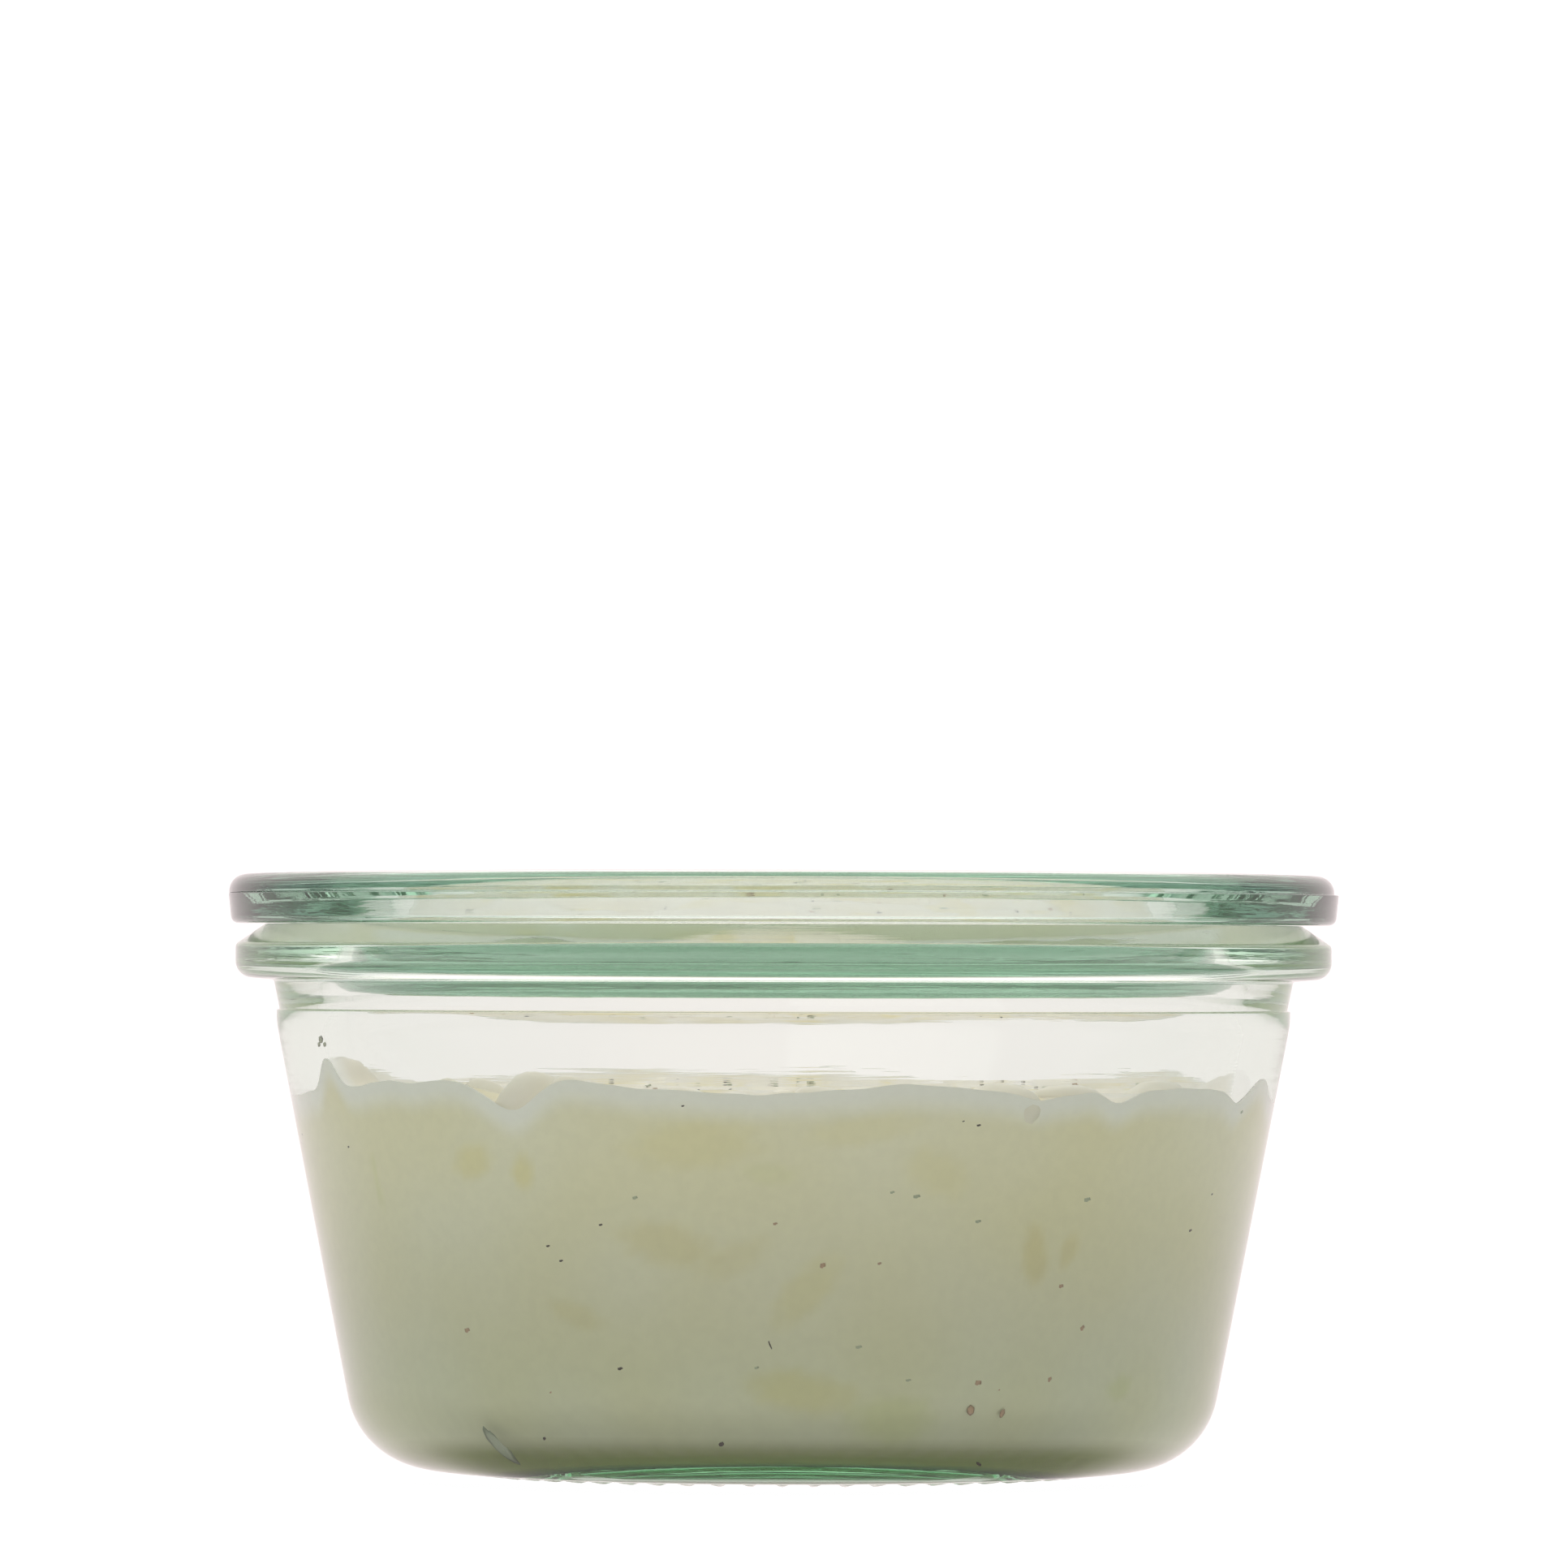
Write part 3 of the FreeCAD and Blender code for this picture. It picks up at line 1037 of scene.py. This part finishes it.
    def top_height(self, radius: float, angle: float) -> float:
        """Height of the cream's open top.

        Args:
            radius: Distance from the axis.
            angle: Degrees from the front.

        Returns:
            The height above the foot.
        """
        place = spot(radius, angle)
        edge = self.jar.inside(self.level)
        inner = self.level - self.hollow - self.lean * place[1] / edge
        inner += self.waves * WAVES.at(place)
        inner += self.curds * CURDS.at(place)
        outer, full = (edge - reach for reach in self.dented)
        inner -= self.dents * abs(DENTS.at(place)) * smooth_step(outer, full, radius)
        begin, end = (edge - reach for reach in self.bank)
        near = smooth_step(begin, end, radius)
        height = inner + (self.wall_line(angle) - self.climb - inner) * near
        return height + self.climb * smooth_step(edge - self.climb_width, edge, radius)

    def colour(self, radius: float, angle: float, height: float) -> Colour:
        """Colour of the cream against the glass.

        Args:
            radius: Distance from the axis.
            angle: Degrees from the front.
            height: Height above the foot.

        Returns:
            The colour with its lit film, soft pieces, painted light above, painted shade lower
            down and at the heel, and a painted dark line at the floor's edge.
        """
        drift = self.round_noise(angle, self.drift_waves, height * self.drift_rise, 6.0)
        # Painted light and shade: lighter towards the top, darker towards the bottom, where less
        # light reaches the cream.
        tone = mix(self.body_colour, self.painted_light_colour, smooth_step(*self.painted_light_span, height))
        tone = mix(tone, self.painted_shade_colour, smooth_step(*self.painted_shade_span, height))
        tone = self.tinted(tone, OCHRE, self.yellowing[0] + self.yellowing[1] * drift)
        # Painted shade: the heel darkens towards the floor, where little light reaches it.
        heel = smooth_step(self.heel_shade_top, self.jar.base_height, height)
        tone = mix(tone, self.painted_heel_shade_colour, heel)
        for piece in self.pieces:
            share = piece.share(angle, self.jar.inside(height), height)
            tone = self.tinted(tone, piece.colour, share)
        # Painted light: the thin film of cream below the line is lightened for the light that
        # shines through it.
        lit_film = smooth_step(*self.lit_film_span, self.wall_line(angle) - height)
        tone = mix(tone, self.lit_film_colour, lit_film)
        # Painted shade: a near-black ring where the cream's floor leaves the glass, standing in
        # for the dark line seen there.
        clear_of_dark_line = smooth_step(*self.painted_dark_line_span, radius - self.floor_radius)
        return mix(self.painted_dark_line_colour, tone, clear_of_dark_line)

    def top_tone(self, radius: float, angle: float) -> Colour:
        """Colour of the cream's open top, deeper in its hollows and over sunk pieces.

        Args:
            radius: Distance from the axis.
            angle: Degrees from the front.

        Returns:
            The colour.
        """
        place = spot(radius, angle)
        tone = self.tinted(self.top_colour, BEIGE, self.dent_tint * abs(DENTS.at(place)))
        return self.tinted(tone, OCHRE, smooth_step(*self.sunk_span, SUNK_PIECES.at(place)))

    @staticmethod
    def tinted(tone: Colour, tint: Colour, share: float) -> Colour:
        """A colour with a share of a tint laid over it."""
        return mix(tone, tuple(a * b for a, b in zip(tone, tint)), share)

    def rows(self, angle: float) -> list[tuple[float, float, bool]]:
        """Points of one half section of the cream.

        Args:
            angle: Degrees from the front.

        Returns:
            Radius, height and whether the point lies against the wall, from the
            middle of the floor round to just short of the middle of the top.
        """
        jar = self.jar
        floor = jar.base_height
        bottom = floor - self.wall_reach
        corner = Corner(jar.inside(floor) + self.wall_reach, bottom, jar.inner_heel_round)
        line = self.wall_line(angle)
        edge = jar.inside(line) + self.wall_reach
        start = Corner(self.floor_radius + self.floor_step, bottom)
        heel = Section((start, corner, Corner(edge, line), Corner(0, line))).outline()[:-2]
        points = [(self.floor_radius, floor + self.floor_gap, False)]
        points += [(p.x, p.y, True) for p in heel]
        heel_end = heel[-1].y
        for k in range(1, self.wall_rows + 1):
            height = heel_end + (line - heel_end) * k / self.wall_rows
            points.append((jar.inside(height) + self.wall_reach, height, True))
        for k in range(1, self.top_rows):
            radius = (edge - self.rim_inset) * (1 - k / self.top_rows)
            points.append((radius, self.top_height(radius, angle), False))
        return points

    def build(self) -> Piece:
        """Builds the cream and fixes it in the frame.

        Returns:
            The finished piece.
        """
        bm = bmesh.new()
        paint = bm.verts.layers.float_color.new(PAINT)
        columns = []
        for k in range(self.segments):
            angle = 360 * k / self.segments
            column = []
            for radius, height, at_wall in self.rows(angle):
                vertex = bm.verts.new(Vector((*spot(radius, angle), height)) * MM)
                if at_wall:
                    vertex[paint] = opaque(self.colour(radius, angle, height))
                else:
                    vertex[paint] = opaque(self.top_tone(radius, angle))
                column.append(vertex)
            columns.append(column)
        rings = [list(ring) for ring in zip(*columns)]
        floor = bm.verts.new((0, 0, (self.jar.base_height + self.floor_gap) * MM))
        top = bm.verts.new((0, 0, self.top_height(0, 0) * MM))
        for middle in (floor, top):
            middle[paint] = opaque(self.top_colour)
        close_rings(bm, [[floor], *rings, [top]])
        rim = rings[-self.top_rows]
        for k, vertex in enumerate(rim):
            bm.edges.get((rim[k - 1], vertex)).smooth = False
        cream = mesh_object("cream", bm, self.finish.material())
        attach(cream, "root")
        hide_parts("cream_filling")
        return cream


TOP_SEED = 100  # added to a seed for the bits on the cream's open top
FLATNESS = 0.3  # thickness of those bits against their length
KNOB_WAVES = 2.6  # how knobbly a crumb is
KNOB_SWELL = (0.6, 1.25)  # its least and greatest swelling


@dataclass(frozen=True)
class Bit:
    """A small bit that lies in the cream against the glass.

    Angles are in degrees, lengths in millimetres.
    """

    angle: float
    height: float
    length: float
    width: float
    tilt: float = 0.0


@dataclass
class Bits:
    """Many small bits of one kind, set out one by one in front and at random behind.

    Angles are in degrees, lengths in millimetres.

    Attributes:
        placed: Bits at chosen places.
        scattered: How many more lie at random from the sides to the back.
        on_top: How many lie at random on the cream's open top.
        largest: Greatest length of a scattered bit.
        proud: How far a bit stands out of the cream.
        behind: Angles between which bits are scattered.
        lowest, below_top: How near they come to the floor and the cream's level.
        from_edge: How near the bits on top come to the glass.
    """

    name: str
    cream: CreamFilling
    finish: PlainFinish
    placed: tuple[Bit, ...]
    scattered: int
    on_top: int
    largest: float
    thickness: float = 0.12
    proud: float = 0.03
    seed: int = 1
    behind: Span = (84.0, 276.0)
    lowest: float = 6.5
    below_top: float = 4.0
    from_edge: float = 6.0

    def all_bits(self) -> list[Bit]:
        """The chosen bits and the scattered ones.

        Returns:
            The bits against the glass.
        """
        chance = random.Random(self.seed)
        bits = list(self.placed)
        for _ in range(self.scattered):
            length = self.largest * chance.uniform(0.45, 1.0)
            angle = chance.uniform(*self.behind)
            height = chance.uniform(self.lowest, self.cream.level - self.below_top)
            width = length * chance.uniform(0.5, 0.95)
            bits.append(Bit(angle, height, length, width, chance.uniform(-90, 90)))
        return bits

    def points(self) -> Piece:
        """A mesh with one point for each bit, which carries its size and turn.

        Returns:
            An object with the points, for the tree.
        """
        bits = self.all_bits()
        mesh = bpy.data.meshes.new(self.name)
        inside = self.cream.jar.inside
        mesh.vertices.add(len(bits) + self.on_top)
        sizes = mesh.attributes.new("bit_size", "FLOAT_VECTOR", "POINT").data
        turns = mesh.attributes.new("bit_turn", "FLOAT_VECTOR", "POINT").data
        lean = Euler((math.atan(self.cream.jar.taper), 0, 0)).to_matrix()
        reach = self.cream.wall_reach + self.proud - self.thickness / 2
        for i, bit in enumerate(bits):
            radius = inside(bit.height) + reach
            mesh.vertices[i].co = Vector((*spot(radius, bit.angle), bit.height)) * MM
            sizes[i].vector = Vector((bit.length, self.thickness, bit.width)) * MM
            spin = Euler((0, math.radians(bit.tilt), 0)).to_matrix()
            facing = Matrix.Rotation(math.radians(bit.angle), 3, "Z")
            turns[i].vector = Vector((facing @ lean @ spin).to_euler())
        chance = random.Random(self.seed + TOP_SEED)
        for i in range(len(bits), len(bits) + self.on_top):
            angle = chance.uniform(0, 360)
            radius = (inside(self.cream.level) - self.from_edge) * math.sqrt(chance.random())
            height = self.cream.top_height(radius, angle) + self.proud
            mesh.vertices[i].co = Vector((*spot(radius, angle), height)) * MM
            length = self.largest * chance.uniform(0.6, 1.5)
            size = Vector((length, FLATNESS * length, length * chance.uniform(0.4, 0.9)))
            sizes[i].vector = size * MM
            turns[i].vector = Vector((math.pi / 2, 0, chance.uniform(0, math.pi)))
        return linked(self.name, mesh)

    def tree(self) -> ShapeTree:
        """The tree that sets a rounded crumb on every point.

        Returns:
            The tree with its values.
        """
        values = {
            "Roundness": (InputKind.COUNT, 2),
            "Finish": (InputKind.FINISH, self.finish.material()),
        }
        tree = ShapeTree(self.name + " on points", values)
        nodes, given = tree.tree, tree.given
        round_one = {"Radius": 0.5, "Subdivisions": given["Roundness"]}
        ball = nodes.add("GeometryNodeMeshIcoSphere", round_one).outputs[0]
        knobs = {"Scale": KNOB_WAVES, "Detail": 1.0}
        knob = nodes.add("ShaderNodeTexNoise", knobs).outputs["Fac"]
        swell = nodes.ramp(knob, *NOISE_SPAN, *KNOB_SWELL)
        place = nodes.add("GeometryNodeInputPosition").outputs[0]
        swollen = nodes.add("ShaderNodeVectorMath", {0: place, "Scale": swell}, operation="SCALE")
        shape = {"Geometry": ball, "Position": swollen.outputs[0]}
        crumb = nodes.add("GeometryNodeSetPosition", shape)
        carried = {}
        for label, source in {"Rotation": "bit_turn", "Scale": "bit_size"}.items():
            kind, name = "GeometryNodeInputNamedAttribute", {"Name": source}
            carried[label] = nodes.add(kind, name, data_type="FLOAT_VECTOR").outputs[0]
        points = {"Points": given["Shape"], "Instance": crumb.outputs[0], **carried}
        set_out = nodes.add("GeometryNodeInstanceOnPoints", points)
        tree.finish(set_out.outputs[0], given["Finish"])
        return tree

    def build(self) -> Piece:
        """Builds the bits as one piece and fixes it in the frame.

        Returns:
            The finished piece.
        """
        piece = self.points()
        self.tree().apply(piece)
        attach(piece, "root")
        return piece


def bits_at(rows: Sequence[tuple[float, ...]]) -> tuple[Bit, ...]:
    """Bits from rows of angle, height, length, width and tilt."""
    return tuple(Bit(*row) for row in rows)


def pepper(cream: CreamFilling) -> Bits:
    """Coarse black pepper.

    Args:
        cream: Cream that they lie in.

    Returns:
        The bits, not built yet.
    """
    placed = (
        (-23.4, 25.8, 0.45, 0.40), (-31.1, 23.7, 0.50, 0.42), (-29.4, 22.3, 0.5, 0.4),
        (-22.2, 12.0, 0.62, 0.55), (-1.7, 14.5, 1.05, 0.28, 72), (-8.5, 5.3, 0.5, 0.45),
        (62.3, 25.1, 0.62, 0.5), (24.0, 35.4, 0.5, 0.42), (-65.8, 33.0, 0.42, 0.4),
        (29.1, 3.4, 0.75, 0.3, 40), (22.0, 35.8, 0.3, 0.25), (-35.0, 5.6, 0.35, 0.3),
        (66.5, 28.6, 0.4, 0.35), (-12.0, 37.2, 0.35, 0.3),
    )
    finish = PlainFinish("black pepper", (0.035, 0.03, 0.022), (0.10, 0.08, 0.05), 0.6)
    return Bits("pepper", cream, finish, bits_at(placed), 34, 60, 0.6, seed=11)


def spice(cream: CreamFilling) -> Bits:
    """Brown and reddish crumbs of onion skin and spice.

    Args:
        cream: Cream that they lie in.

    Returns:
        The bits, not built yet.
    """
    placed = (
        (-46.1, 15.4, 0.8, 0.9), (27.1, 10.7, 0.75, 1.0, 20), (30.4, 9.9, 0.5, 0.55),
        (26.4, 8.1, 0.8, 1.0, -30), (31.4, 7.8, 0.5, 0.9, 10), (43.0, 15.8, 0.65, 0.9, -20),
        (38.4, 19.9, 0.6, 0.8, 15), (38.5, 10.9, 0.5, 0.9), (-33.0, 9.6, 0.4, 0.4),
        (12.3, 22.2, 0.45, 0.5), (-1.0, 26.0, 0.5, 0.5), (5.0, 22.0, 0.6, 1.0, 10),
    )
    finish = PlainFinish("browned crumbs", (0.50, 0.33, 0.18), (0.42, 0.30, 0.22), 0.6)
    return Bits("spice_crumbs", cream, finish, bits_at(placed), 26, 45, 0.8, seed=12)


def herbs(cream: CreamFilling) -> Bits:
    """Grey-green flecks of herb.

    Args:
        cream: Cream that they lie in.

    Returns:
        The bits, not built yet.
    """
    placed = (
        (25.0, 26.2, 0.7, 0.6), (40.8, 28.2, 0.9, 0.8), (16.6, 28.6, 0.8, 0.7),
        (-18.6, 28.4, 0.6, 0.6), (13.5, 29.0, 0.5, 0.5), (-3.5, 12.2, 0.5, 0.5),
        (10.0, 14.2, 0.7, 0.6), (17.0, 11.0, 0.6, 0.5), (-42.3, 4.2, 2.0, 0.9, 48),
        (71.0, 36.6, 0.7, 0.6), (-68.4, 43.5, 0.9, 0.8), (-67.5, 43.0, 0.6, 0.5),
        (-69.2, 43.0, 0.5, 0.5),
    )
    finish = PlainFinish("herb flecks", (0.48, 0.51, 0.36), (0.38, 0.43, 0.29), 0.55)
    return Bits("herb_flecks", cream, finish, bits_at(placed), 40, 90, 1.0, seed=13)


def air_pockets(cream: CreamFilling) -> Bits:
    """Flat grey-green discs painted with the shade that pockets show where the cream doesn't
    touch the glass.

    Args:
        cream: Cream that they lie in.

    Returns:
        The bits, not built yet.
    """
    placed = (
        (-43.4, 4.9, 4.6, 1.35, 48),
    )
    # Painted shade: the grey-green look of air between cream and glass is painted on these flat
    # discs.
    finish = PlainFinish("painted air pocket shade", (0.36, 0.40, 0.30), (0.28, 0.33, 0.22), 0.3)
    return Bits("air_pockets", cream, finish, bits_at(placed), 6, 0, 2.4, seed=14)


@dataclass(frozen=True)
class Lump:
    """A coated piece that stands out of the cream's top.

    Angle in degrees from the front, lengths in millimetres.
    """

    angle: float
    inset: float
    length: float
    width: float
    rise: float


@dataclass
class TopLumps:
    """Pieces of vegetable that show on the cream's top, coated in cream."""

    cream: CreamFilling
    finish: PlainFinish = PlainFinish(
        "coated pieces", (0.93, 0.90, 0.79), (0.90, 0.84, 0.66), 0.3, 260.0
    )
    scattered: int = 22
    seed: int = 5
    sunk: float = 1.2
    knob: float = 0.2
    knob_waves: float = 2.4
    from_edge: float = 2.0
    placed: tuple[Lump, ...] = tuple(
        Lump(*row)
        for row in (
            (-58.0, 2.0, 6.0, 3.0, 0.5), (-49.0, 3.2, 5.0, 2.2, 1.3),
            (-42.0, 3.0, 5.0, 2.4, 1.2), (-33.5, 3.0, 7.6, 4.6, 2.6),
            (-28.0, 2.6, 5.2, 3.0, 1.3), (-12.0, 2.6, 6.0, 3.0, 0.5), (28.5, 2.8, 8.0, 4.4, 1.3),
            (39.5, 3.0, 8.0, 3.8, 1.0), (56.0, 2.8, 9.0, 4.0, 1.1), (4.5, 4.0, 7.0, 3.6, 0.6),
            (15.0, 5.0, 6.0, 3.2, 0.6),
        )
    )

    def all_lumps(self) -> list[Lump]:
        """The chosen lumps and the scattered ones.

        Returns:
            The lumps, at rest on the top.
        """
        chance = random.Random(self.seed)
        lumps = list(self.placed)
        reach = self.cream.jar.inside(self.cream.level)
        for _ in range(self.scattered):
            length = chance.uniform(3.0, 6.0)
            inset = reach * (1 - math.sqrt(chance.uniform(0.0, 0.72))) + self.from_edge
            angle = chance.uniform(0, 360)
            lumps.append(Lump(angle, inset, length, length * 0.7, chance.uniform(0.1, 0.7)))
        return lumps

    def build(self) -> Piece:
        """Builds the lumps as one piece and fixes it in the frame.

        Returns:
            The finished piece.
        """
        bm = bmesh.new()
        for i, lump in enumerate(self.all_lumps()):
            radius = self.cream.jar.inside(self.cream.level) - lump.inset
            deep = lump.rise + self.sunk
            height = self.cream.top_height(radius, lump.angle) + lump.rise - deep
            middle = Vector((*spot(radius, lump.angle), height))
            size = Vector((lump.length, lump.width, 2 * deep))
            turn = math.radians(lump.angle) + 0.5 * math.sin(i * 7.0)
            spin = Matrix.Rotation(turn, 4, "Z")
            made = bmesh.ops.create_icosphere(bm, subdivisions=3, radius=0.5)["verts"]
            for vertex in made:
                knob = 1 + self.knob * soft_noise(*(vertex.co * self.knob_waves), i)
                local = Vector(a * b for a, b in zip(vertex.co * knob, size))
                vertex.co = (spin @ local + middle) * MM
        piece = mesh_object("coated_pieces", bm, self.finish.material())
        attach(piece, "root")
        return piece


# ---- the studio


@dataclass
class Studio:
    """A white table, light from all round and a camera almost level with the rim.

    Attributes:
        distance: Camera to the jar's axis, in metres.
        eye: Camera's height above the table, in metres.
        lens: Focal length for a 36 mm wide picture.
        pitch: How far the camera looks up, in degrees.
        roll: How far the camera leans, in degrees.
        back: Brightness behind the jar.
        front: Brightness on the camera's side, level with the jar.
        above: Extra brightness from above.
        tone: Colour of the surroundings, warm enough to balance the glass.
        side_tone: Colour of the surroundings to the left and right, cooler and darker.
        depth_span: Where front turns into back, as the y of a direction.
        height_span: Where the light from above begins and is full, as the z of a direction.
        side_span: Where the side tone begins and is full, as the x of a direction.
    """

    distance: float = 1.05
    eye: float = 0.051
    lens: float = 242.6
    pitch: float = 0.945
    roll: float = 0.15
    back: float = 1.12
    front: float = 0.66
    above: float = 1.15
    tone: Colour = LIGHT_TONE
    side_tone: Colour = (0.72, 0.71, 0.76)
    depth_span: Span = (-0.6, 0.35)
    height_span: Span = (0.15, 0.75)
    side_span: Span = (0.55, 0.9)
    table_radius: float = 6.0
    table_drop: float = 0.0002
    jar_middle: float = 0.03

    def table(self) -> Piece:
        """The white table top.

        Returns:
            The table.
        """
        bm = bmesh.new()
        bmesh.ops.create_circle(bm, cap_ends=True, segments=96, radius=self.table_radius)
        bmesh.ops.translate(bm, verts=bm.verts, vec=(0, 0, -self.table_drop))
        return mesh_object("table", bm, GlowingFloorFinish().material())

    def surroundings(self) -> None:
        """Soft white surroundings, brightest above and behind the jar."""
        world = bpy.data.worlds.new("soft studio")
        world.use_nodes = True
        world.node_tree.nodes.clear()
        sky = Tree(world.node_tree)
        way = sky.add("ShaderNodeTexCoord").outputs["Generated"]
        split = sky.add("ShaderNodeSeparateXYZ", {0: way}).outputs
        level = sky.ramp(split["Y"], *self.depth_span, self.front, self.back)
        high = sky.ramp(split["Z"], *self.height_span, 0.0, self.above)
        seen = sky.add("ShaderNodeLightPath").outputs["Is Camera Ray"]
        strength = sky.math("MAXIMUM", sky.math("ADD", level, high), seen)
        aside = sky.ramp(sky.math("ABSOLUTE", split["X"]), *self.side_span, 0.0, 1.0)
        tone = sky.blend(seen, sky.blend(aside, self.tone, self.side_tone), WHITE)
        shine = sky.add("ShaderNodeBackground", {"Color": tone, "Strength": strength})
        sky.add("ShaderNodeOutputWorld", {"Surface": shine.outputs[0]})
        bpy.context.scene.world = world

    def softbox(self) -> None:
        """A large soft lamp above the front left, which the glass doesn't mirror."""
        lamp = bpy.data.lights.new("softbox", "AREA")
        lamp.shape = "SQUARE"
        lamp.size = 1.6
        lamp.energy = 5.0
        box = linked("softbox", lamp)
        box.location = (-0.6, -0.9, 1.1)
        box.visible_glossy = False
        aim = Vector((0, 0, self.jar_middle)) - box.location
        box.rotation_euler = aim.to_track_quat("-Z", "Y").to_euler()

    def camera(self) -> None:
        """The camera in front of the jar."""
        data = bpy.data.cameras.new("camera")
        data.lens = self.lens
        data.sensor_width = 36
        eye = linked("camera", data)
        eye.location = (0, -self.distance, self.eye)
        level = Euler((math.radians(90 + self.pitch), 0, 0)).to_matrix()
        eye.rotation_euler = (level @ Matrix.Rotation(math.radians(self.roll), 3, "Z")).to_euler()
        bpy.context.scene.camera = eye

    def build(self) -> None:
        """Sets up table, light and camera."""
        self.table()
        self.surroundings()
        self.softbox()
        self.camera()
        bpy.context.scene.view_settings.view_transform = "Standard"
        paths = bpy.context.scene.cycles
        paths.max_bounces = paths.transmission_bounces = 32
        paths.glossy_bounces = 24


def main() -> None:
    """Builds the jar, its lid, the filling and the studio in order."""
    logging.basicConfig(level=logging.INFO, format="%(name)s: %(message)s")
    jar = JarGlass(GlassFinish("jar glass"))
    lid = LidGlass(GlassFinish("lid glass", LID_ABSORPTION), jar)
    cream = CreamFilling(jar)
    bits = (pepper(cream), spice(cream), herbs(cream), air_pockets(cream))
    for maker in (jar, lid, cream, TopLumps(cream), *bits):
        piece = maker.build()
        LOG.info("%s: %d faces", piece.name, len(piece.data.polygons))
    Studio().build()


if __name__ == "__main__":
    main()
